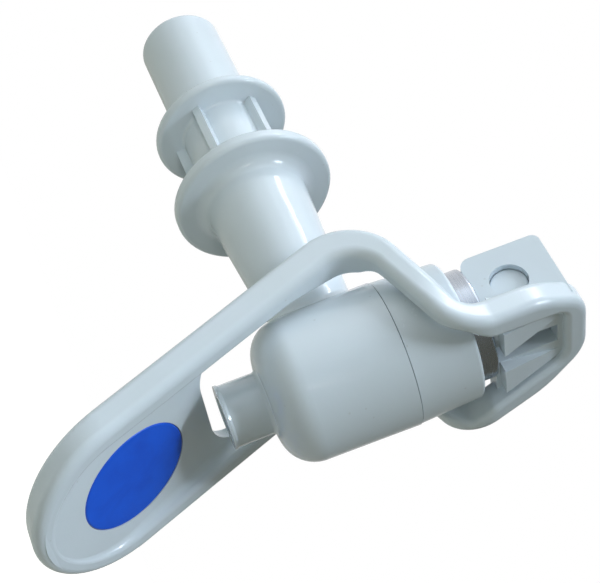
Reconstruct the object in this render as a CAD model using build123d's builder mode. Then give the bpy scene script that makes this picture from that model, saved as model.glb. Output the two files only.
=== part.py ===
from build123d import *
import os

# Push-lever water tap. The origin is on the inlet pipe's axis, in the plane where
# the large flange seats on the dispenser. The pipe runs towards +Y, the nozzle
# points down and the lever hangs in front, towards -Y. Sizes are in millimetres,
# and every y below is measured from the upright barrel's axis.

# Fits and clearances
running_gap = 0.06
seat_gap = 0.05
pin_seat_gap = 0.02
seam_gap = 0.15
slip_gap = 0.15

# Barrel, with its foot, threaded neck and nozzle
barrel_radius = 12.7
barrel_draft = 0.2
barrel_foot_z = -13.4
barrel_foot_round = 6.2
foot_flat = 0.9
barrel_top_z = 9.45
neck_step = 1.7
neck_top_z = 16.4
neck_wall = 1.6
chamber_floor_z = -10.6
chamber_floor_round = 3.0
chamber_floor_flat = 0.5
nozzle_radius = 5.4
nozzle_end_z = -20.9
nozzle_root_round = 0.8
nozzle_lip = 0.4
outlet_radius = 3.7
seat_ring_radius = 5.6
seat_ring_z = -8.6

# Inlet pipe, flanges, ribbed neck and tail tube
pipe_root_radius = 6.4
pipe_end_radius = 9.6
flange_radius = 15.0
pipe_end_round = min(2.2, (flange_radius - pipe_end_radius) / 2)
flange_y = 43.7
flange_thickness = 2.6
core_radius = 7.8
small_flange_radius = 12.9
small_flange_y = 62.7
small_flange_thickness = 2.0
flange_rim_round = min(0.85, flange_thickness / 2.3)
small_rim_round = min(0.85, small_flange_thickness / 2.3)
flange_root_round = 0.6
rib_count = 5
rib_radius = 9.6
rib_thickness = 1.5
rib_angle = 43
tail_radius = 8.0
tail_end_y = 90.8
tail_end_round = 1.6
inlet_radius = 5.2
channel_radius = 4.6
saddle_round = 1.6

# Bonnet cap
cap_step = 0.15
cap_draft = 0.55
cap_top_z = 21.1
cap_ceiling_z = 17.6
cap_top_round = 0.7
cap_neck_gap = 0.12
boss_radius = 8.9

# Steel cup on the bonnet
collar_radius = 9.7
collar_top_z = 24.6
collar_sheet = 0.6
collar_bend = 0.5
collar_hole_radius = 4.0

# Lift stem
rod_radius = 3.0
stem_shoulder_radius = 4.9
stem_shoulder_z = -2.6
stem_shoulder_thickness = 1.2
stem_waist_radius = 2.2
stem_head_radius = 3.8
stem_head_z = -6.6
stem_head_thickness = 2.0
eye_thickness = 4.0
eye_foot_z = 23.3

# Hinge pin
pivot_z = 31.0
pin_radius = 1.6
pin_head_radius = 3.2
pin_head_thickness = 1.0
pin_recess = 2.1

# Return spring
spring_radius = 3.95
spring_wire = 0.7
spring_turns = 7

# Silicone cup
cup_plug_radius = 6.8
cup_wall = 1.1
cup_waist_radius = 6.3
cup_waist_z = 7.0
cup_bell_gap = 0.4
cup_bell_z = 14.6
cup_rim_gap = 0.2

# Lever: front outline, seen along Y. Its window clears the cap, and its arms stand
# outside the window. Each drop is how far the outline stands inside the arms there.
window_gap = 0.35
arm_width = 3.9
arm_top_z = 16.4
arm_round = 7
arch_top_z = 41.3
arch_top_drop = 10.3
arch_round = 6.5
arch_side_z = 33.0
arch_side_drop = 4.7
arch_side_round = 16
arch_foot_z = 23.6
arch_foot_drop = 2.7
arch_foot_round = 5
paddle_drop = 0.2
paddle_centre_z = -40.2
rim_width = 3.8
window_top_z = 37.0
window_top_half = 6.4
window_foot_z = 22.6
window_foot_drop = 3.0
window_shoulder_z = 18.9
window_waist_z = 12.2
window_waist_drop = 1.9
window_hump_z = 9.0
window_hump_foot_z = 3.0
window_arm_z = -5.0
window_round = 3.0
window_bend_round = 2.0

# Lever: side profile, seen along X, as (y, z) corners
head_front = (-8.6, 41.0)
knee_front = (-12.35, 16.9)
hump_front = (12.5, 8.8)
paddle_slope = 0.402
head_depth = 5.6
knee_back = (-6.4, 19.8)
hump_back = (20.0, 11.6)
paddle_depth = 6.5
knee_front_round = 8.0
hump_front_round = 6.0
knee_back_round = 2.6
hump_back_round = 10.4
strap_outer_round = 1.6
strap_inner_round = 1.0

# Lever: head and paddle web
cheek_half = 8.0
cheek_bottom_z = collar_top_z + seat_gap
cheek_top_z = 39.3
cheek_back_y = 7.3
cheek_front_y = -6.6
cheek_corner_round = 2.2
cheek_top_round = 1.4
head_web_front_y = -7.8
head_web_back_y = -4.8
slot_top_z = 36.0
wedge_front_y = -10.2
wedge_bottom_z = 25.4
wedge_top_z = 36.2
wedge_top_x = 5.2
wedge_top_width = 1.8
pin_head_gap = 0.12
web_depth = 1.35
web_slope = 0.5
web_thickness = 2.2
web_top_z = -23.1
web_corner_round = 7.5
web_root_round = 1.2
insert_half_width = 9.5
insert_half_length = 10.6
insert_centre_z = -37.9
insert_thickness = 1.4
insert_gap = 0.1
insert_edge_round = 0.3


# Radii and half widths that follow from those above
barrel_foot_radius = barrel_radius - barrel_draft
neck_radius = barrel_radius - neck_step
chamber_radius = neck_radius - neck_wall
cap_radius = barrel_radius - cap_step
cap_top_radius = cap_radius - cap_draft
cup_bell_radius = chamber_radius - cup_bell_gap
cup_rim_radius = neck_radius - cup_rim_gap
window_half = cap_radius + window_gap
arm_half = window_half + arm_width
arch_top_half = arm_half - arch_top_drop
arch_side_half = arm_half - arch_side_drop
arch_foot_half = arm_half - arch_foot_drop
paddle_half = arm_half - paddle_drop
inner_paddle = paddle_half - rim_width
window_foot_half = window_half - window_foot_drop
window_waist_half = window_half - window_waist_drop

# The flange's seat, and the planes through the barrel's axis that profiles lie on
seat_y = flange_y + flange_thickness
barrel_axis = Axis((0, -seat_y, 0), (0, 0, 1))
level_plane = Plane((0, -seat_y, 0))
front_plane = Plane((0, -seat_y, 0), x_dir=(1, 0, 0), z_dir=(0, -1, 0))
side_plane = Plane((0, -seat_y, 0), x_dir=(0, 1, 0), z_dir=(1, 0, 0))
inlet_plane = Plane((0, -seat_y, 0), x_dir=(1, 0, 0), z_dir=(0, 1, 0))


def corners(sketch, *points):
    """The sketch's vertices that lie nearest to the points."""
    return [sketch.vertices().sort_by_distance(point)[0] for point in points]


# Body moulding

with BuildPart() as body:
    with BuildSketch(front_plane):
        with BuildLine():
            Polyline(
                (0, barrel_foot_z),
                (barrel_foot_radius, barrel_foot_z),
                (barrel_radius, barrel_top_z),
                (neck_radius, barrel_top_z),
                (neck_radius, neck_top_z),
                (0, neck_top_z),
                close=True,
            )
        make_face()
    revolve(axis=barrel_axis)
    foot = body.edges().filter_by(GeomType.CIRCLE).sort_by(Axis.Z)[0]
    foot_room = barrel_foot_radius - nozzle_radius - foot_flat
    fillet(foot, radius=min(barrel_foot_round, foot_room))

    # The nozzle is a plain spout with a slight lip at its mouth.
    with BuildSketch(front_plane):
        with BuildLine():
            Polyline(
                (0, nozzle_end_z),
                (nozzle_radius + nozzle_lip / 2, nozzle_end_z),
                (nozzle_radius + nozzle_lip / 2, nozzle_end_z + nozzle_lip),
                (nozzle_radius, nozzle_end_z + 2 * nozzle_lip),
                (nozzle_radius, barrel_foot_z + nozzle_root_round),
                (0, barrel_foot_z + nozzle_root_round),
                close=True,
            )
        make_face()
    revolve(axis=barrel_axis)
    root = body.edges().filter_by(GeomType.CIRCLE).filter_by_position(
        Axis.Z, barrel_foot_z - 0.01, barrel_foot_z + 0.01
    )
    fillet(root.sort_by(SortBy.RADIUS)[0], radius=nozzle_root_round)

    # One turned profile makes the pipe, both flanges, the neck and the tail.
    with BuildSketch(side_plane) as pipe_profile:
        with BuildLine():
            Polyline(
                (0, 0),
                (0, pipe_root_radius),
                (flange_y, pipe_end_radius),
                (flange_y, flange_radius),
                (seat_y, flange_radius),
                (seat_y, core_radius),
                (small_flange_y, core_radius),
                (small_flange_y, small_flange_radius),
                (small_flange_y + small_flange_thickness, small_flange_radius),
                (small_flange_y + small_flange_thickness, tail_radius),
                (tail_end_y, tail_radius),
                (tail_end_y, 0),
                close=True,
            )
        make_face()
        small_back_y = small_flange_y + small_flange_thickness
        rim = corners(pipe_profile, (flange_y, flange_radius), (seat_y, flange_radius))
        fillet(rim, radius=flange_rim_round)
        small_rim = corners(
            pipe_profile,
            (small_flange_y, small_flange_radius),
            (small_back_y, small_flange_radius),
        )
        fillet(small_rim, radius=small_rim_round)
        fillet(corners(pipe_profile, (flange_y, pipe_end_radius)), radius=pipe_end_round)
        roots = corners(
            pipe_profile,
            (seat_y, core_radius),
            (small_flange_y, core_radius),
            (small_back_y, tail_radius),
        )
        fillet(roots, radius=flange_root_round)
        fillet(corners(pipe_profile, (tail_end_y, tail_radius)), radius=tail_end_round)
    revolve(axis=Axis.Y)
    saddle = body.edges().filter_by(GeomType.CIRCLE, reverse=True).filter_by(GeomType.LINE, reverse=True)
    saddle = saddle.filter_by_position(Axis.Y, pipe_root_radius - seat_y, barrel_radius - seat_y)
    fillet(saddle, radius=saddle_round)

    # Radial ribs stiffen the neck between the flanges.
    with BuildSketch(inlet_plane.offset(seat_y)):
        with PolarLocations(rib_radius / 2, rib_count, start_angle=-90 - rib_angle):
            Rectangle(rib_radius, rib_thickness)
    extrude(amount=small_flange_y - seat_y)

    # Valve chamber with its raised seat ring, and the outlet through the nozzle.
    with BuildSketch(front_plane) as chamber_profile:
        with BuildLine():
            Polyline(
                (0, nozzle_end_z),
                (outlet_radius, nozzle_end_z),
                (outlet_radius, seat_ring_z),
                (seat_ring_radius, seat_ring_z),
                (seat_ring_radius, chamber_floor_z),
                (chamber_radius, chamber_floor_z),
                (chamber_radius, neck_top_z),
                (0, neck_top_z),
                close=True,
            )
        make_face()
        floor_room = chamber_radius - seat_ring_radius - chamber_floor_flat
        floor_corner = corners(chamber_profile, (chamber_radius, chamber_floor_z))
        fillet(floor_corner, radius=min(chamber_floor_round, floor_room))
    revolve(axis=barrel_axis, mode=Mode.SUBTRACT)

    # Inlet bore in the tail, and a narrower channel from it into the chamber.
    with BuildSketch(inlet_plane):
        Circle(channel_radius)
    extrude(amount=small_back_y, mode=Mode.SUBTRACT)
    with BuildSketch(inlet_plane.offset(small_back_y)):
        Circle(inlet_radius)
    extrude(amount=tail_end_y - small_back_y, mode=Mode.SUBTRACT)


# Bonnet cap

cap_bore_radius = neck_radius + cap_neck_gap
cap_foot_z = barrel_top_z + seam_gap
boss_top_z = collar_top_z - collar_sheet - seat_gap
guide_radius = rod_radius + running_gap

with BuildPart() as cap:
    with BuildSketch(front_plane):
        with BuildLine():
            Polyline(
                (cap_bore_radius, cap_foot_z),
                (cap_radius, cap_foot_z),
                (cap_top_radius, cap_top_z),
                (boss_radius, cap_top_z),
                (boss_radius, boss_top_z),
                (guide_radius, boss_top_z),
                (guide_radius, cap_ceiling_z),
                (cap_bore_radius, cap_ceiling_z),
                close=True,
            )
        make_face()
    revolve(axis=barrel_axis)
    rim = cap.edges().filter_by(GeomType.CIRCLE).filter_by_position(
        Axis.Z, cap_top_z - 0.01, cap_top_z + 0.01
    )
    fillet(rim.sort_by(SortBy.RADIUS)[-1], radius=cap_top_round)


# Steel cup that takes the heel of the lever

with BuildPart() as collar:
    with BuildSketch(front_plane) as collar_profile:
        with BuildLine():
            Polyline(
                (collar_radius - collar_sheet, cap_top_z + seat_gap),
                (collar_radius, cap_top_z + seat_gap),
                (collar_radius, collar_top_z),
                (collar_hole_radius, collar_top_z),
                (collar_hole_radius, collar_top_z - collar_sheet),
                (collar_radius - collar_sheet, collar_top_z - collar_sheet),
                close=True,
            )
        make_face()
        fillet(corners(collar_profile, (collar_radius, collar_top_z)), radius=collar_bend)
    revolve(axis=barrel_axis)


# Lift stem with the flat eye that the lever hinges on

with BuildPart() as stem:
    with BuildSketch(front_plane):
        with BuildLine():
            Polyline(
                (0, stem_head_z),
                (stem_head_radius, stem_head_z),
                (stem_head_radius, stem_head_z + stem_head_thickness),
                (stem_waist_radius, stem_head_z + stem_head_thickness),
                (stem_waist_radius, stem_shoulder_z),
                (stem_shoulder_radius, stem_shoulder_z),
                (stem_shoulder_radius, stem_shoulder_z + stem_shoulder_thickness),
                (rod_radius, stem_shoulder_z + stem_shoulder_thickness),
                (rod_radius, pivot_z + rod_radius),
                (0, pivot_z + rod_radius),
                close=True,
            )
        make_face()
    revolve(axis=barrel_axis)
    with BuildSketch(front_plane):
        with Locations((0, (eye_foot_z + pivot_z) / 2 + rod_radius)):
            Rectangle(4 * rod_radius, pivot_z - eye_foot_z + 2 * rod_radius)
            Rectangle(eye_thickness, pivot_z - eye_foot_z + 2 * rod_radius, mode=Mode.SUBTRACT)
    extrude(amount=2 * rod_radius, both=True, mode=Mode.SUBTRACT)
    with BuildSketch(side_plane):
        with Locations((0, pivot_z + rod_radius)):
            Rectangle(2 * rod_radius, 2 * rod_radius)
        with Locations((0, pivot_z)):
            Circle(rod_radius, mode=Mode.SUBTRACT)
            Circle(pin_radius + pin_seat_gap)
    extrude(amount=2 * rod_radius, both=True, mode=Mode.SUBTRACT)


# Hinge pin, with its flat head in the near cheek

with BuildPart() as pin:
    with BuildSketch(side_plane.offset(pin_recess - cheek_half)):
        with Locations((0, pivot_z)):
            Circle(pin_radius)
    extrude(amount=2 * cheek_half - pin_recess)
    with BuildSketch(side_plane.offset(pin_recess - cheek_half)):
        with Locations((0, pivot_z)):
            Circle(pin_head_radius)
    extrude(amount=-pin_head_thickness)
    crown = pin.edges().filter_by(GeomType.CIRCLE).sort_by(Axis.X)[0]
    fillet(crown, radius=pin_head_thickness / 4)


# Return spring between the stem's shoulder and the bonnet

spring_foot_z = stem_shoulder_z + stem_shoulder_thickness + spring_wire / 2 + seat_gap
spring_height = cap_ceiling_z - spring_foot_z - spring_wire / 2 - seat_gap

with BuildPart() as spring:
    with BuildLine() as coil:
        Helix(
            pitch=spring_height / spring_turns,
            height=spring_height,
            radius=spring_radius,
            center=(0, -seat_y, spring_foot_z),
        )
    with BuildSketch(Plane(origin=coil.line @ 0, z_dir=coil.line % 0)):
        Circle(spring_wire / 2)
    sweep(is_frenet=True)


# Silicone cup: a plug on the seat ring, a bell and a rim under the bonnet

cup_foot_z = seat_ring_z + seat_gap

with BuildPart() as seat_cup:
    with BuildSketch(front_plane):
        with BuildLine():
            Polyline(
                (0, cup_foot_z),
                (cup_plug_radius, cup_foot_z),
                (cup_plug_radius, stem_shoulder_z),
                (cup_waist_radius, stem_shoulder_z + stem_shoulder_thickness),
                (cup_waist_radius, cup_waist_z),
                (cup_bell_radius, cup_bell_z),
                (cup_bell_radius, neck_top_z + seat_gap),
                (cup_rim_radius, neck_top_z + seat_gap),
                (cup_rim_radius, cap_ceiling_z - seat_gap),
                (cup_bell_radius - cup_wall, cap_ceiling_z - seat_gap),
                (cup_bell_radius - cup_wall, cup_bell_z),
                (cup_waist_radius - cup_wall, cup_waist_z),
                (cup_waist_radius - cup_wall, stem_shoulder_z - seat_gap),
                (stem_waist_radius + seat_gap, stem_shoulder_z - seat_gap),
                (stem_waist_radius + seat_gap, stem_head_z + stem_head_thickness + seat_gap),
                (stem_head_radius + seat_gap, stem_head_z + stem_head_thickness + seat_gap),
                (stem_head_radius + seat_gap, stem_head_z - seat_gap),
                (0, stem_head_z - seat_gap),
                close=True,
            )
        make_face()
    revolve(axis=barrel_axis)


# Lever: a strap bent in the side view, cut to its outline in the front view

def paddle_front_y(z):
    """Front face of the strap below the hump, at height z."""
    return hump_front[0] + paddle_slope * (z - hump_front[1])


slot_half = eye_thickness / 2 + slip_gap
paddle_end_z = paddle_centre_z - paddle_half
tip_z = paddle_end_z - strap_outer_round
head_top_z = arch_top_z + strap_outer_round
head_lean = (head_front[0] - knee_front[0]) / (head_front[1] - knee_front[1])
head_top_y = head_front[0] + head_lean * strap_outer_round

with BuildPart() as lever:
    with BuildSketch(side_plane):
        with BuildLine():
            front = FilletPolyline(
                (head_top_y, head_top_z),
                knee_front,
                hump_front,
                (paddle_front_y(tip_z), tip_z),
                radius=[knee_front_round, hump_front_round],
            )
            back = FilletPolyline(
                (head_top_y + head_depth, head_top_z),
                knee_back,
                hump_back,
                (paddle_front_y(tip_z) + paddle_depth, tip_z),
                radius=[knee_back_round, hump_back_round],
            )
            Line(front @ 0, back @ 0)
            Line(front @ 1, back @ 1)
        make_face()
    extrude(amount=arm_half + 1, both=True)

    with BuildSketch(front_plane):
        with BuildLine():
            side = FilletPolyline(
                (0, arch_top_z),
                (arch_top_half, arch_top_z),
                (arch_side_half, arch_side_z),
                (arch_foot_half, arch_foot_z),
                (arm_half, arm_top_z),
                (paddle_half, paddle_centre_z),
                radius=[arch_round, arch_side_round, arch_foot_round, arm_round],
            )
            RadiusArc(side @ 1, (0, paddle_end_z), paddle_half)
            mirror(about=Plane.YZ)
        make_face()
    extrude(amount=2 * arch_top_z, both=True, mode=Mode.INTERSECT)
    fillet(lever.edges(), radius=strap_outer_round)

    with BuildSketch(front_plane):
        with BuildLine():
            inside = FilletPolyline(
                (0, window_top_z),
                (window_top_half, window_top_z),
                (window_foot_half, window_foot_z),
                (window_half, window_shoulder_z),
                (window_half, window_waist_z),
                (window_waist_half, window_hump_z),
                (window_waist_half, window_hump_foot_z),
                (inner_paddle, window_arm_z),
                (inner_paddle, paddle_centre_z),
                radius=[window_round] * 2 + [window_bend_round] * 5,
            )
            RadiusArc(inside @ 1, (0, paddle_centre_z - inner_paddle), inner_paddle)
            mirror(about=Plane.YZ)
        make_face()
    extrude(amount=2 * arch_top_z, both=True, mode=Mode.SUBTRACT)
    fillet(lever.edges(Select.LAST).filter_by(Axis.Y, reverse=True), radius=strap_inner_round)

    # Dished web of the paddle, set back from the rim and shallower towards the tip.
    web_plane = Plane(
        origin=(0, paddle_front_y(paddle_centre_z) + web_depth - seat_y, paddle_centre_z),
        x_dir=(1, 0, 0),
        z_dir=(0, -1, web_slope),
    )
    slope_scale = (1 + web_slope**2) ** 0.5
    web_half = paddle_half - rim_width / 2
    web_rise = (web_top_z - paddle_centre_z) * slope_scale
    with BuildSketch(web_plane):
        Ellipse(web_half, web_half * slope_scale)
        with Locations((0, web_rise / 2)):
            Rectangle(2 * web_half, web_rise)
        with Locations((0, web_rise + web_corner_round / 2)):
            Rectangle(2 * web_half, web_corner_round)
        with Locations((0, web_rise + web_corner_round)):
            SlotCenterToCenter(2 * (inner_paddle - web_corner_round), 2 * web_corner_round, mode=Mode.SUBTRACT)
    extrude(amount=-web_thickness)
    web_face = lever.faces().filter_by(web_plane).sort_by(SortBy.AREA)[-1]
    dish = web_face.edges().filter_by_position(Axis.Z, paddle_end_z, web_top_z - web_corner_round)
    fillet(dish, radius=web_root_round)

    # Oval seat for the coloured insert.
    insert_rise = (insert_centre_z - paddle_centre_z) * slope_scale
    with BuildSketch(web_plane):
        with Locations((0, insert_rise)):
            Ellipse(insert_half_width + insert_gap, insert_half_length + insert_gap)
    extrude(amount=-insert_thickness, mode=Mode.SUBTRACT)

    # Head web closes the arch behind the strap's front face.
    with BuildSketch(front_plane.offset(-head_web_back_y)):
        with BuildLine():
            head_side = FilletPolyline(
                (0, arch_top_z - rim_width / 2),
                (arch_top_half - rim_width / 2, arch_top_z - rim_width / 2),
                (arch_foot_half - rim_width / 2, cheek_bottom_z),
                (0, cheek_bottom_z),
                radius=[arch_round - rim_width / 2, 0],
            )
            mirror(about=Plane.YZ)
        make_face()
    extrude(amount=head_web_back_y - head_web_front_y)

    # Two cheeks, seen from the side.
    with BuildSketch(side_plane) as cheek_side:
        with BuildLine():
            Polyline(
                (cheek_front_y, cheek_bottom_z),
                (cheek_back_y, cheek_bottom_z),
                (cheek_back_y, cheek_top_z),
                (cheek_front_y, cheek_top_z),
                close=True,
            )
        make_face()
        fillet(corners(cheek_side, (cheek_back_y, cheek_bottom_z)), radius=cheek_corner_round)
        fillet(corners(cheek_side, (cheek_back_y, cheek_top_z)), radius=cheek_top_round)
    extrude(amount=cheek_half, both=True)

    # Wedge blocks stiffen the front of the cheeks.
    for side in (-1, 1):
        with BuildSketch(level_plane.offset(wedge_bottom_z)):
            with Locations((side * (slot_half + cheek_half) / 2, (wedge_front_y + cheek_front_y) / 2)):
                Rectangle(cheek_half - slot_half, cheek_front_y - wedge_front_y)
        with BuildSketch(level_plane.offset(wedge_top_z)):
            with Locations((side * wedge_top_x, (head_web_front_y + cheek_front_y) / 2)):
                Rectangle(wedge_top_width, cheek_front_y - head_web_front_y)
        loft()

    # Slot for the stem's eye.
    with BuildSketch(front_plane):
        with Locations((0, cheek_bottom_z - seat_gap)):
            Rectangle(2 * slot_half, slot_top_z - cheek_bottom_z + seat_gap, align=(Align.CENTER, Align.MIN))
    extrude(amount=2 * arch_top_z, both=True, mode=Mode.SUBTRACT)

    # Hinge hole, with a recess for the head of the pin.
    with BuildSketch(side_plane):
        with Locations((0, pivot_z)):
            Circle(pin_radius + running_gap)
    extrude(amount=2 * cheek_half, both=True, mode=Mode.SUBTRACT)
    with BuildSketch(side_plane.offset(pin_recess + seat_gap - cheek_half)):
        with Locations((0, pivot_z)):
            Circle(pin_head_radius + pin_head_gap)
    extrude(amount=-cheek_half, mode=Mode.SUBTRACT)


# Coloured oval insert, seated in the paddle

with BuildPart() as insert:
    with BuildSketch(web_plane.offset(seat_gap - insert_thickness)):
        with Locations((0, insert_rise)):
            Ellipse(insert_half_width, insert_half_length)
    extrude(amount=insert_thickness)
    fillet(insert.edges().sort_by(Axis.Y)[0], radius=insert_edge_round)


os.makedirs("parts", exist_ok=True)

body.part.label = "body"
export_step(body.part, "parts/body.step")
cap.part.label = "cap"
export_step(cap.part, "parts/cap.step")
collar.part.label = "collar"
export_step(collar.part, "parts/collar.step")
stem.part.label = "stem"
export_step(stem.part, "parts/stem.step")
pin.part.label = "pin"
export_step(pin.part, "parts/pin.step")
spring.part.label = "spring"
export_step(spring.part, "parts/spring.step")
seat_cup.part.label = "seat_cup"
export_step(seat_cup.part, "parts/seat_cup.step")
lever.part.label = "lever"
export_step(lever.part, "parts/lever.step")
insert.part.label = "insert"
export_step(insert.part, "parts/insert.step")
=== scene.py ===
"""Finishes, inner pieces, stage and camera for a push-lever water tap, laid out as an add-on.

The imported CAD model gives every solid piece, and this file gives each one its moulded, drawn
or cast finish. It builds the return spring and the valve's cup anew, because both change
their height as the stem lifts, and it adds the floor, the lamps and the camera. Lengths are
in metres.
"""

import bpy
import numpy as np
from bpy.props import FloatProperty, FloatVectorProperty, PointerProperty
from bpy.types import Operator, Panel, PropertyGroup
from mathutils import Matrix, Vector


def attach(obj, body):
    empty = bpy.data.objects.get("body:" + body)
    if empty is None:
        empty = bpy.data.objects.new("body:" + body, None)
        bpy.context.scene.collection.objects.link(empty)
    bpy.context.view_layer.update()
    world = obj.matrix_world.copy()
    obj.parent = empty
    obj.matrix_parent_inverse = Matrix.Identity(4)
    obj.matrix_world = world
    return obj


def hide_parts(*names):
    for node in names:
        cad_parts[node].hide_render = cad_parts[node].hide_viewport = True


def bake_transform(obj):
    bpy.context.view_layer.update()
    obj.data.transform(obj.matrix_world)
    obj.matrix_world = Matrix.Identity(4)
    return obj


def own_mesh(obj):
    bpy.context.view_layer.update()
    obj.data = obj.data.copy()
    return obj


bl_info = {
    "name": "Push-lever tap finishes",
    "version": (1, 0, 0),
    "blender": (4, 5, 0),
    "location": "3D View > Sidebar > Tap",
    "description": "Finishes, stage and camera for a push-lever water tap",
    "category": "Object",
}

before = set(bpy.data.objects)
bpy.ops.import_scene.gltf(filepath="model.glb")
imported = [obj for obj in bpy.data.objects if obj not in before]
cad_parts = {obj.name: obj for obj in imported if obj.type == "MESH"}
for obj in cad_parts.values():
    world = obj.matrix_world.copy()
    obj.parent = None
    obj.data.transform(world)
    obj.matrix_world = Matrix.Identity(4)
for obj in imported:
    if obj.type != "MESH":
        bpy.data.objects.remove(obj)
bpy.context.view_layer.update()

# The camera stands low on the near side, with the tap turned across its frame.
CAMERA_PLACE = (-0.2200, -0.20504, -0.03576)
CAMERA_RIGHT = (0.127994, -0.343844, 0.930263)
CAMERA_UP = (-0.624265, 0.700922, 0.344967)
CAMERA_LENS = 98.04
CAMERA_SENSOR = 36.0
CAMERA_CLIP_START = 0.01

COOL_LIGHT = (0.80, 0.90, 1.0)
WHITE_LIGHT = (1.0, 1.0, 1.0)
WARM_LIGHT = (1.0, 1.0, 0.94)

# Area lamps stand along their direction from LAMP_AIM. The key and the strip stand above and
# behind, the top lamp above and in front, and the front lamp beside the tap on its near side.
# Each row is name, direction, distance, width, length and colour.
LAMP_AIM = (0.0, -0.035, 0.0)
AREA_LAMPS = (
    ("key", (-0.52, 0.40, 0.76), 0.75, 0.80, 0.80, COOL_LIGHT),
    ("strip", (-0.44, 0.56, 0.70), 0.80, 0.011, 0.30, WHITE_LIGHT),
    ("top", (-0.38, -0.33, 0.86), 0.75, 0.20, 0.20, COOL_LIGHT),
    ("front", (-0.95, 0.22, 0.20), 0.75, 0.80, 0.80, COOL_LIGHT),
)

# Spot lamps are narrow and have aim points of their own. Each row is name, aim, direction
# and colour.
SPOT_LAMPS = (
    ("paddle", (-0.003, -0.056, -0.049), (-0.37, -0.42, 0.83), COOL_LIGHT),
    ("flange", (-0.004, 0.012, 0.002), (-0.70, -0.66, 0.05), WARM_LIGHT),
)
SPOT_DISTANCE = 0.50
SPOT_ANGLE = 0.13
SPOT_BLEND = 1.0
SPOT_SOFT_SIZE = 0.03

# The sky is open above, behind and on the near side. The weights say how far each way counts.
SKY_UP = 0.35
SKY_BEHIND = 0.70
SKY_NEAR = 0.62
SKY_SPREAD = 0.80
SKY_ROOM = (0.76, 0.76, 0.62)
SKY_OPEN = (1.40, 1.47, 1.47)
SKY_MIRRORED = (-0.15, 0.75)

WHITE = (1.0, 1.0, 1.0, 1.0)
FLOOR_POINTS = 9
FLOOR_MOTTLE_SCALE = 9.0
FLOOR_SHADE = 0.97
FLOOR_GLOW = 0.96
FLOOR_MIRRORED = 0.25

# Finishes. A scale counts a pattern's cells per metre, a relief is the height of the skin's
# marks, and a reach is how far light travels inside the material.
PLASTIC_IOR = 1.49
CLOUD_SCALE = 55.0
SHEEN_SCALE = 120.0
SPECK_SCALE = 420.0
SPECK_SIZE = 0.11
SPECK_PICK = (0.80, 0.84)
SPECK_SHARE = 0.22
SPECK_TINT = (0.40, 0.41, 0.38)
PLASTIC_SKIN = (0.8, 1.0, 0.9)
PLASTIC_SKIN_REACH = 0.0016
PIGMENT_SCALE = 160.0
PLATE_WAVE_SCALE = 300.0
PLATE_RELIEF = 0.000016
LINE_DRIFT = 0.01
WIRE_GRAIN = 0.3
STEEL_PATCH_SCALE = 220.0
STEEL_RELIEF = 0.000002
SILICONE_IOR = 1.41
MILK_SCALE = 140.0
POWDER_SCALE = 1500.0
MILK_SHADE = 0.86
SILICONE_GLOW = 0.35
SILICONE_SKIN = (1.0, 1.0, 0.95)
SILICONE_SKIN_REACH = 0.003
SILICONE_RELIEF = 0.00001

# Each moulding: its node, the shift of its pattern, and what is added to its roughness.
MOULDINGS = (
    ("body", (0.0, 0.0, 0.0), -0.07),
    ("cap", (0.31, 0.07, 0.13), 0.03),
    ("lever", (0.11, 0.43, 0.29), 0.0),
    ("stem", (0.53, 0.17, 0.61), 0.05),
    ("pin", (0.73, 0.37, 0.19), 0.02),
)

BARREL_Y = -0.0463
SHARP_ANGLE = 0.6

# The spring and the cup sit under the bonnet's ceiling, and the stem lifts their lower ends.
SPRING_FOOT_Z = -0.00135
SPRING_HEAD_Z = 0.01755
SPRING_RADIUS = 0.00395
SPRING_STATIONS = 385
WIRE_SIDES = 16

# The cup's half section, as (distance from the axis, height): plug, waist, bell, rim, and
# back inside to the pocket that holds the stem's head. The real cup shortens as the plug
# lifts.
CUP_SECTION = (
    (0.0, -0.00855),
    (0.0068, -0.00855),
    (0.0068, -0.0026),
    (0.0063, -0.0014),
    (0.0063, 0.0070),
    (0.0090, 0.0146),
    (0.0090, 0.01645),
    (0.0108, 0.01645),
    (0.0108, 0.01755),
    (0.0079, 0.01755),
    (0.0079, 0.0146),
    (0.0052, 0.0070),
    (0.0052, -0.00265),
    (0.00225, -0.00265),
    (0.00225, -0.00455),
    (0.00385, -0.00455),
    (0.00385, -0.00665),
    (0.0, -0.00665),
)
CUP_STATIONS = 160
CUP_SIDES = 96


# ---------------------------------------------------------------- node writing


class Value:
    """One output socket that can be used in arithmetic. Each operator adds a Math node."""

    def __init__(self, tree, socket):
        self.tree = tree
        self.socket = socket

    def _math(self, operation, *values):
        return self.tree.node("ShaderNodeMath", {"operation": operation}, values)

    def __add__(self, other):
        return self._math("ADD", self, other)

    def __radd__(self, other):
        return self._math("ADD", other, self)

    def __sub__(self, other):
        return self._math("SUBTRACT", self, other)

    def __rsub__(self, other):
        return self._math("SUBTRACT", other, self)

    def __mul__(self, other):
        return self._math("MULTIPLY", self, other)

    def __rmul__(self, other):
        return self._math("MULTIPLY", other, self)

    def root(self):
        return self._math("SQRT", self)

    def clamp(self, low, high):
        return self._math("MINIMUM", self._math("MAXIMUM", self, low), high)

    def smooth(self, low, high):
        """0 below low, 1 above high and an S-shaped rise between them."""
        settings = {"interpolation_type": "SMOOTHSTEP"}
        return self.tree.node("ShaderNodeMapRange", settings, (self, low, high, 0.0, 1.0))


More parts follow.
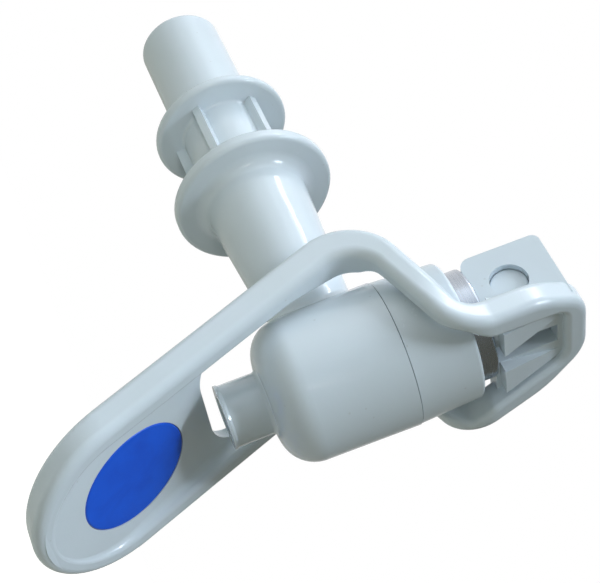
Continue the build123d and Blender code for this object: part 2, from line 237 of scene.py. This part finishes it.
class Tree:
    """Writes nodes into one material's or world's node tree."""

    def __init__(self, owner):
        owner.use_nodes = True
        self.nodes = owner.node_tree.nodes
        self.links = owner.node_tree.links
        self.nodes.clear()

    def node(self, kind, settings=None, values=(), output=0, **named):
        """Adds a node, applies its settings first, then its inputs, and returns one output."""
        made = self.nodes.new(kind)
        for key, value in (settings or {}).items():
            setattr(made, key, value)
        for place, value in list(enumerate(values)) + list(named.items()):
            key = place.replace("_", " ") if isinstance(place, str) else place
            self.feed(made.inputs[key], value)
        return Value(self, made.outputs[output]) if made.outputs else None

    def feed(self, socket, value):
        if isinstance(value, Value):
            self.links.new(value.socket, socket)
        else:
            socket.default_value = value

    def place(self):
        """Object coordinates, in metres, in the tap's own frame."""
        return self.node("ShaderNodeTexCoord", output="Object")

    def split(self, vector):
        """The three parts of a vector."""
        made = self.nodes.new("ShaderNodeSeparateXYZ")
        self.feed(made.inputs[0], vector)
        return [Value(self, made.outputs[k]) for k in range(3)]

    def join(self, x, y, z):
        return self.node("ShaderNodeCombineXYZ", None, (x, y, z))

    def noise(self, vector, scale, detail=2.0, roughness=0.5, distortion=0.0):
        return self.node(
            "ShaderNodeTexNoise",
            Vector=vector,
            Scale=scale,
            Detail=detail,
            Roughness=roughness,
            Distortion=distortion,
        )

    def specks(self, vector, scale, size):
        """1 in small round spots, one in each cell that its random colour picks, 0 outside."""
        made = self.nodes.new("ShaderNodeTexVoronoi")
        self.feed(made.inputs["Vector"], vector)
        made.inputs["Scale"].default_value = scale
        near = 1 - Value(self, made.outputs["Distance"]).smooth(size * 0.5, size)
        chosen = self.split(Value(self, made.outputs["Color"]))[0].smooth(*SPECK_PICK)
        return near * chosen

    def mix(self, share, first, second):
        """A colour between two colours, by the share."""
        made = self.nodes.new("ShaderNodeMix")
        made.data_type = "RGBA"
        self.feed(made.inputs[0], share)
        for place, value in ((6, first), (7, second)):
            if not isinstance(value, Value):
                value = (*value, 1.0) if len(value) == 3 else value
            self.feed(made.inputs[place], value)
        return Value(self, made.outputs[2])

    def bump(self, height, distance):
        return self.node("ShaderNodeBump", output="Normal", Height=height, Distance=distance)

    def surface(self, **named):
        """A Principled surface that goes to the material's output."""
        shader = self.node("ShaderNodeBsdfPrincipled", **named)
        self.node("ShaderNodeOutputMaterial", Surface=shader)


# -------------------------------------------------------------------- settings


def colour_property(name, description, default):
    return FloatVectorProperty(
        name=name,
        description=description,
        subtype="COLOR",
        size=3,
        min=0.0,
        max=1.0,
        default=default,
    )


def gloss_property(description, default, lowest=0.05):
    return FloatProperty(
        name="Roughness", description=description, default=default, min=lowest, max=1.0
    )


def length_property(name, description, default):
    return FloatProperty(name=name, description=description, default=default, unit="LENGTH")


def power_property(name, description, default):
    return FloatProperty(name=name, description=description, default=default, unit="POWER")


class TapMouldingSettings(PropertyGroup):
    """White moulded plastic of the body, cap, lever, stem and pin."""

    tint: colour_property("Tint", "Colour of the moulded plastic", (0.695, 0.770, 0.830))
    cloud: colour_property(
        "Cloud", "Colour that the plastic drifts towards", (0.675, 0.750, 0.800)
    )
    roughness: gloss_property("Gloss of the skin", 0.21)
    flow_size: length_property("Flow marks", "Spacing of the soft waves in the skin", 0.0042)
    grain_size: length_property("Grain", "Spacing of the fine grain", 0.0006)
    skin_depth: length_property("Skin depth", "Height of the waves and grain", 0.000022)
    glow: FloatProperty(
        name="Translucency",
        description="Share of the light that enters the plastic",
        default=0.12,
        min=0.0,
        max=1.0,
    )


class TapInsertSettings(PropertyGroup):
    """Blue plate in the paddle."""

    tint: colour_property("Tint", "Colour of the plate", (0.007, 0.115, 0.780))
    deep: colour_property(
        "Deep tint", "Colour that the plate drifts towards", (0.006, 0.095, 0.690)
    )
    roughness: gloss_property("Gloss of the plate", 0.42)
    grain_size: length_property("Grain", "Spacing of the satin grain", 0.00035)


class TapSteelSettings(PropertyGroup):
    """Drawn steel of the collar, and the spring's wire."""

    tint: colour_property("Tint", "Colour of the steel", (0.50, 0.54, 0.60))
    dull: colour_property("Dull tint", "Colour of the dulled lines", (0.36, 0.39, 0.435))
    roughness: gloss_property("Gloss of the steel", 0.20, lowest=0.02)
    line_size: length_property(
        "Turning lines", "Spacing of the lines round the collar", 0.00012
    )


class TapSpringSettings(PropertyGroup):
    """Return spring."""

    wire: length_property("Wire", "Radius of the spring's wire", 0.00035)
    turns: FloatProperty(
        name="Turns",
        description="Turns of wire, with the close one at each end",
        default=8.0,
        min=4.0,
    )


class TapCupSettings(PropertyGroup):
    """Silicone of the valve's cup."""

    tint: colour_property("Tint", "Colour of the silicone", (0.640, 0.650, 0.640))
    roughness: gloss_property("Gloss of the silicone", 0.55)


class TapStageSettings(PropertyGroup):
    """Floor, sky and lamps."""

    floor_height: length_property("Floor height", "Height of the floor under the tap", -0.115)
    floor_width: length_property("Floor width", "Width of the floor", 6.0)
    floor_tint: colour_property("Floor tint", "Colour of the floor", (0.54, 0.53, 0.45))
    key_power: power_property("Key power", "Power of the large soft lamp", 2.3)
    strip_power: power_property(
        "Strip power", "Power of the narrow lamp that draws the highlights", 0.9
    )
    top_power: power_property("Top power", "Power of the lamp above the lever", 2.15)
    front_power: power_property("Front power", "Power of the lamp beside the tap", 1.35)
    paddle_power: power_property("Paddle power", "Power of the spot on the paddle", 6.4)
    flange_power: power_property("Flange power", "Power of the spot on the flanges", 2.4)
    sky: FloatProperty(
        name="Sky",
        description="Strength of the light from all round",
        default=0.18,
        min=0.0,
        max=2.0,
    )


# ------------------------------------------------------------------- finishes


def fresh_material(name):
    material = bpy.data.materials.new(name)
    return material, Tree(material)


def dress(node, material):
    """Gives a CAD piece its finish."""
    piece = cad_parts[node]
    piece.data.materials.clear()
    piece.data.materials.append(material)


def moulded_plastic(name, settings, drift, gloss):
    """Moulded plastic: tint drifts in soft clouds, and the skin has flow waves, a fine grain
    and few dark specks.

    drift moves the pattern, so that no two pieces share one, and gloss is added to the
    roughness."""
    material, tree = fresh_material(name)
    place = tree.node("ShaderNodeVectorMath", {"operation": "ADD"}, (tree.place(), drift))
    cloud = tree.noise(place, CLOUD_SCALE, roughness=0.45, distortion=0.6)
    flow = tree.noise(place, 1.0 / settings.flow_size, roughness=0.4, distortion=0.3)
    grain = tree.noise(place, 1.0 / settings.grain_size, detail=3.0, roughness=0.6)
    sheen = tree.noise(place, SHEEN_SCALE).smooth(0.35, 0.75)
    specks = tree.specks(place, SPECK_SCALE, SPECK_SIZE)
    colour = tree.mix(cloud.smooth(0.30, 0.70), settings.tint, settings.cloud)
    colour = tree.mix(specks * SPECK_SHARE, colour, SPECK_TINT)
    roughness = settings.roughness + gloss + 0.06 * (grain - 0.5) + 0.03 * sheen
    tree.surface(
        Base_Color=colour,
        Roughness=roughness.clamp(0.08, 0.9),
        IOR=PLASTIC_IOR,
        Subsurface_Weight=settings.glow,
        Subsurface_Radius=PLASTIC_SKIN,
        Subsurface_Scale=PLASTIC_SKIN_REACH,
        Normal=tree.bump(0.8 * flow + 0.2 * grain, settings.skin_depth),
    )
    return material


def satin_plate(name, settings):
    """Satin moulded colour: a fine spark-worked grain on the face, and slightly uneven
    pigment."""
    material, tree = fresh_material(name)
    place = tree.place()
    pigment = tree.noise(place, PIGMENT_SCALE, detail=3.0, roughness=0.55, distortion=0.4)
    grain = tree.noise(place, 1.0 / settings.grain_size, roughness=0.7)
    wave = tree.noise(place, PLATE_WAVE_SCALE, detail=1.0, roughness=0.4)
    colour = tree.mix(pigment.smooth(0.30, 0.70), settings.tint, settings.deep)
    roughness = settings.roughness + 0.12 * (grain - 0.5) + 0.06 * (pigment - 0.5)
    tree.surface(
        Base_Color=colour,
        Roughness=roughness.clamp(0.15, 0.9),
        IOR=PLASTIC_IOR,
        Normal=tree.bump(0.6 * grain + 0.4 * wave, PLATE_RELIEF),
    )
    return material


def drawn_steel(name, settings, turned):
    """Steel with fine lines. On a turned piece the lines run round the barrel's axis, and on
    wire they are a plain grain.

    The lines are noise on (height, distance from the axis) with nearly no change along the
    angle."""
    material, tree = fresh_material(name)
    x, y, z = tree.split(tree.place())
    y = y - BARREL_Y
    reach = (x * x + y * y).root()
    scale = 1.0 / settings.line_size
    if turned:
        around = tree.join(reach * scale, z * scale, (x + y) * (scale * LINE_DRIFT))
        lines = tree.noise(around, 1.0, detail=3.0, roughness=0.6)
    else:
        lines = tree.noise(tree.join(x, y, z), scale * WIRE_GRAIN, roughness=0.6)
    patches = tree.noise(
        tree.place(), STEEL_PATCH_SCALE, detail=3.0, roughness=0.6, distortion=0.8
    )
    dull = lines.smooth(0.38, 0.66) * 0.6 + patches.smooth(0.45, 0.75) * 0.4
    tree.surface(
        Base_Color=tree.mix(dull, settings.tint, settings.dull),
        Metallic=1.0,
        Roughness=(settings.roughness + 0.14 * dull).clamp(0.05, 0.8),
        Normal=tree.bump(lines, STEEL_RELIEF),
    )
    return material


def soft_silicone(name, settings):
    """Cast silicone: matt, milky, and dusted with a fine powder."""
    material, tree = fresh_material(name)
    place = tree.place()
    milk = tree.noise(place, MILK_SCALE, detail=3.0)
    powder = tree.noise(place, POWDER_SCALE, roughness=0.7)
    dark = tuple(MILK_SHADE * part for part in settings.tint)
    tree.surface(
        Base_Color=tree.mix(milk.smooth(0.3, 0.7), settings.tint, dark),
        Roughness=(settings.roughness + 0.2 * (powder - 0.5)).clamp(0.2, 0.95),
        IOR=SILICONE_IOR,
        Subsurface_Weight=SILICONE_GLOW,
        Subsurface_Radius=SILICONE_SKIN,
        Subsurface_Scale=SILICONE_SKIN_REACH,
        Normal=tree.bump(powder, SILICONE_RELIEF),
    )
    return material


# --------------------------------------------------------------- inner pieces


def ringed_piece(name, rings, first, last):
    """A closed surface through a row of rings of points, made a piece with smooth faces and
    sharp corners.

    Quads join each ring to the next, and at each end a fan of triangles closes the ring at
    its own end point."""
    rows, around = rings.shape[:2]
    points = np.concatenate([[first], rings.reshape(-1, 3), [last]])
    step = np.arange(around)
    turn = (step + 1) % around
    start = 1 + around * np.arange(rows - 1)[:, None]
    corners = [start + step, start + turn, start + around + turn, start + around + step]
    quads = np.stack(corners, axis=-1).reshape(-1, 4)
    end = 1 + around * (rows - 1)
    first_fan = np.stack([np.zeros_like(step), 1 + turn, 1 + step], axis=-1)
    last_fan = np.stack([np.full_like(step, len(points) - 1), end + step, end + turn], axis=-1)
    mesh = bpy.data.meshes.new(name)
    mesh.from_pydata(
        points.tolist(), [], quads.tolist() + first_fan.tolist() + last_fan.tolist()
    )
    mesh.shade_smooth()
    mesh.set_sharp_from_angle(angle=SHARP_ANGLE)
    piece = bpy.data.objects.new(name, mesh)
    bpy.context.scene.collection.objects.link(piece)
    return piece


def spring_piece(settings):
    """The wire's centre climbs a helix: its angle grows evenly, and its height grows by one
    wire's thickness in the first and the last turn and evenly between them. Each ring is a
    circle across the wire."""
    wire, turns = settings.wire, settings.turns
    turn = turns * np.linspace(0.0, 1.0, SPRING_STATIONS)
    low, high = SPRING_FOOT_Z + wire, SPRING_HEAD_Z - wire
    turn_marks = [0.0, 1.0, turns - 1.0, turns]
    height = np.interp(turn, turn_marks, [low, low + 2 * wire, high - 2 * wire, high])
    angle = 2.0 * np.pi * turn
    zero = np.zeros_like(angle)
    out = np.stack([np.cos(angle), np.sin(angle), zero], axis=-1)
    centre = SPRING_RADIUS * out + np.stack([zero, zero + BARREL_Y, height], axis=-1)
    along = np.gradient(centre, axis=0)
    along /= np.linalg.norm(along, axis=-1, keepdims=True)
    side = np.cross(along, out)
    round_wire = np.linspace(0.0, 2.0 * np.pi, WIRE_SIDES, endpoint=False)[:, None]
    across = np.cos(round_wire) * out[:, None] + np.sin(round_wire) * side[:, None]
    rings = centre[:, None] + wire * across
    return ringed_piece("spring_coil", rings, centre[0], centre[-1])


def cup_piece():
    """The half section, cut into short steps, is turned round the barrel's axis."""
    corners = np.array(CUP_SECTION)
    lengths = np.linalg.norm(np.diff(corners, axis=0), axis=-1)
    reach = np.concatenate([[0.0], np.cumsum(lengths)])
    stations = np.union1d(reach, np.linspace(0.0, reach[-1], CUP_STATIONS))
    radius, height = (
        np.interp(stations, reach, corners[:, k])[1:-1, None] for k in range(2)
    )
    angle = np.linspace(0.0, 2.0 * np.pi, CUP_SIDES, endpoint=False)
    x, y = radius * np.cos(angle), BARREL_Y + radius * np.sin(angle)
    rings = np.stack([x, y, height + 0 * angle], axis=-1)
    foot, head = ((0.0, BARREL_Y, corners[k, 1]) for k in (0, -1))
    return ringed_piece("cup_bell", rings, foot, head)


# ---------------------------------------------------------------------- stage


def floor_surface(width, height):
    """A level square grid: x and y each run over the width in equal steps, and z is the
    height."""
    steps = np.linspace(-0.5 * width, 0.5 * width, FLOOR_POINTS)
    x, y = np.meshgrid(steps, steps, indexing="ij")
    points = np.stack([x, y, np.full_like(x, height)], axis=-1).reshape(-1, 3)
    count = len(steps)
    corner = (np.arange(count - 1)[:, None] * count + np.arange(count - 1)).reshape(-1)
    faces = np.stack([corner, corner + count, corner + count + 1, corner + 1], axis=-1)
    mesh = bpy.data.meshes.new("floor")
    mesh.from_pydata(points.tolist(), [], faces.tolist())
    floor = bpy.data.objects.new("floor", mesh)
    bpy.context.scene.collection.objects.link(floor)
    return floor


def seen_directly(tree, mirrored):
    """1 where the camera looks at the background, also through glass, and the mirrored share
    in a reflection."""
    made = tree.nodes.new("ShaderNodeLightPath")
    camera = Value(tree, made.outputs["Is Camera Ray"])
    glass = Value(tree, made.outputs["Is Transmission Ray"])
    mirror = Value(tree, made.outputs["Is Glossy Ray"])
    return (camera + glass + mirror * mirrored).clamp(0.0, 1.0)


def floor_finish(settings):
    """Pale matt floor. To the camera it has a glow of its own, so it is white wherever no
    shadow falls."""
    material, tree = fresh_material("floor_paint")
    mottle = tree.noise(tree.place(), FLOOR_MOTTLE_SCALE, detail=4.0, roughness=0.6)
    shade = tuple(FLOOR_SHADE * part for part in settings.floor_tint)
    tint = tree.mix(mottle, settings.floor_tint, shade)
    paint = tree.node("ShaderNodeBsdfDiffuse", Color=tint)
    strength = seen_directly(tree, FLOOR_MIRRORED) * FLOOR_GLOW
    glow = tree.node("ShaderNodeEmission", Color=WHITE, Strength=strength)
    both = tree.node("ShaderNodeAddShader", None, (paint, glow))
    tree.node("ShaderNodeOutputMaterial", Surface=both)
    return material


def sky_finish(settings):
    """White to the camera, and behind the tap in reflections too. As light it is a cool sky
    above, behind and on the near side, and a dim warm room on the other sides."""
    world = bpy.data.worlds.new("room")
    bpy.context.scene.world = world
    tree = Tree(world)
    x, y, z = tree.split(tree.node("ShaderNodeTexCoord", output="Generated"))
    open_side = (SKY_UP * z + SKY_BEHIND * y - SKY_NEAR * x).smooth(-SKY_SPREAD, SKY_SPREAD)
    light = tree.mix(open_side, SKY_ROOM, SKY_OPEN)
    dim = tree.node("ShaderNodeBackground", Color=light, Strength=settings.sky)
    white = tree.node("ShaderNodeBackground", Color=WHITE, Strength=1.0)
    seen = seen_directly(tree, y.smooth(*SKY_MIRRORED))
    both = tree.node("ShaderNodeMixShader", None, (seen, dim, white))
    tree.node("ShaderNodeOutputWorld", Surface=both)


def stand_lamp(name, kind, aim, direction, distance, power, colour):
    """Stands a lamp along the direction from its aim point, looking back at that point."""
    lamp = bpy.data.lights.new(name, kind)
    lamp.energy = power
    lamp.color = colour
    stand = bpy.data.objects.new(name, lamp)
    way = Vector(direction).normalized()
    stand.location = Vector(aim) + distance * way
    stand.rotation_euler = way.to_track_quat("Z", "Y").to_euler()
    bpy.context.scene.collection.objects.link(stand)
    return lamp


def stand_lamps(settings):
    """Stands the area lamps, then the spots, each with the power that the settings give."""
    for name, direction, distance, width, length, colour in AREA_LAMPS:
        power = getattr(settings, f"{name}_power")
        lamp = stand_lamp(name, "AREA", LAMP_AIM, direction, distance, power, colour)
        lamp.shape = "RECTANGLE"
        lamp.size = width
        lamp.size_y = length
    for name, aim, direction, colour in SPOT_LAMPS:
        power = getattr(settings, f"{name}_power")
        lamp = stand_lamp(f"{name}_spot", "SPOT", aim, direction, SPOT_DISTANCE, power, colour)
        lamp.spot_size = SPOT_ANGLE
        lamp.spot_blend = SPOT_BLEND
        lamp.shadow_soft_size = SPOT_SOFT_SIZE


def stand_camera():
    """The camera's axes are its right, its up and their cross product, which points back at
    the viewer."""
    camera = bpy.data.objects.new("camera", bpy.data.cameras.new("camera"))
    camera.data.sensor_fit = "HORIZONTAL"
    camera.data.sensor_width = CAMERA_SENSOR
    camera.data.lens = CAMERA_LENS
    camera.data.clip_start = CAMERA_CLIP_START
    right, up = Vector(CAMERA_RIGHT).normalized(), Vector(CAMERA_UP).normalized()
    back = right.cross(up).normalized()
    turn = Matrix((right, back.cross(right), back)).transposed()
    camera.matrix_world = Matrix.Translation(CAMERA_PLACE) @ turn.to_4x4()
    bpy.context.scene.collection.objects.link(camera)
    bpy.context.scene.camera = camera


# ------------------------------------------------------------------ operators


class TAP_OT_stage(Operator):
    """Builds the floor, the sky, the lamps and the camera"""

    bl_idname = "tap.stage"
    bl_label = "Stage"

    def execute(self, context):
        settings = context.scene.tap_stage
        stand_camera()
        floor = floor_surface(settings.floor_width, settings.floor_height)
        floor.data.materials.append(floor_finish(settings))
        sky_finish(settings)
        stand_lamps(settings)
        context.scene.view_settings.view_transform = "Standard"
        return {"FINISHED"}


class TAP_OT_mouldings(Operator):
    """Gives the body, the cap, the lever, the stem and the pin their white moulded plastic"""

    bl_idname = "tap.mouldings"
    bl_label = "White mouldings"

    def execute(self, context):
        settings = context.scene.tap_moulding
        for node, drift, gloss in MOULDINGS:
            dress(node, moulded_plastic(f"{node}_plastic", settings, drift, gloss))
        return {"FINISHED"}


class TAP_OT_insert(Operator):
    """Gives the paddle's insert its blue satin plastic"""

    bl_idname = "tap.insert"
    bl_label = "Paddle insert"

    def execute(self, context):
        dress("insert", satin_plate("insert_plastic", context.scene.tap_insert))
        return {"FINISHED"}


class TAP_OT_collar(Operator):
    """Gives the collar its drawn steel"""

    bl_idname = "tap.collar"
    bl_label = "Steel collar"

    def execute(self, context):
        dress("collar", drawn_steel("collar_steel", context.scene.tap_steel, True))
        return {"FINISHED"}


class TAP_OT_spring(Operator):
    """Builds the return spring at one length; the real spring shortens towards the bonnet as
    the stem lifts
    """

    bl_idname = "tap.spring"
    bl_label = "Return spring"

    def execute(self, context):
        spring = spring_piece(context.scene.tap_spring)
        spring.data.materials.append(
            drawn_steel("spring_wire", context.scene.tap_steel, False)
        )
        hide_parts("spring")
        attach(spring, "tap")
        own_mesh(spring)
        return {"FINISHED"}


class TAP_OT_cup(Operator):
    """Builds the valve's silicone cup at one height; in the tap its plug lifts while its rim
    stays under the bonnet
    """

    bl_idname = "tap.cup"
    bl_label = "Seat cup"

    def execute(self, context):
        cup = cup_piece()
        cup.data.materials.append(soft_silicone("cup_silicone", context.scene.tap_cup))
        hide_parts("seat_cup")
        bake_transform(cup)
        return {"FINISHED"}


class TAP_PT_finishes(Panel):
    """Lists the tap's settings and the steps that use them"""

    bl_idname = "TAP_PT_finishes"
    bl_label = "Tap"
    bl_space_type = "VIEW_3D"
    bl_region_type = "UI"
    bl_category = "Tap"

    def draw(self, context):
        for step, group in STEPS:
            box = self.layout.box()
            box.operator(step)
            settings = getattr(context.scene, group)
            for name in settings.bl_rna.properties.keys():
                if name not in {"rna_type", "name"}:
                    box.prop(settings, name)


GROUPS = {
    "tap_stage": TapStageSettings,
    "tap_moulding": TapMouldingSettings,
    "tap_insert": TapInsertSettings,
    "tap_steel": TapSteelSettings,
    "tap_spring": TapSpringSettings,
    "tap_cup": TapCupSettings,
}
STEPS = (
    ("tap.stage", "tap_stage"),
    ("tap.mouldings", "tap_moulding"),
    ("tap.insert", "tap_insert"),
    ("tap.collar", "tap_steel"),
    ("tap.spring", "tap_spring"),
    ("tap.cup", "tap_cup"),
)
CLASSES = (
    *GROUPS.values(),
    TAP_OT_stage,
    TAP_OT_mouldings,
    TAP_OT_insert,
    TAP_OT_collar,
    TAP_OT_spring,
    TAP_OT_cup,
    TAP_PT_finishes,
)


def register():
    for kind in CLASSES:
        bpy.utils.register_class(kind)
    for name, kind in GROUPS.items():
        setattr(bpy.types.Scene, name, PointerProperty(type=kind))


def unregister():
    for name in GROUPS:
        delattr(bpy.types.Scene, name)
    for kind in reversed(CLASSES):
        bpy.utils.unregister_class(kind)


def main():
    """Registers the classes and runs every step."""
    register()
    bpy.ops.tap.stage()
    bpy.ops.tap.mouldings()
    bpy.ops.tap.insert()
    bpy.ops.tap.collar()
    bpy.ops.tap.spring()
    bpy.ops.tap.cup()


if __name__ == "__main__":
    main()
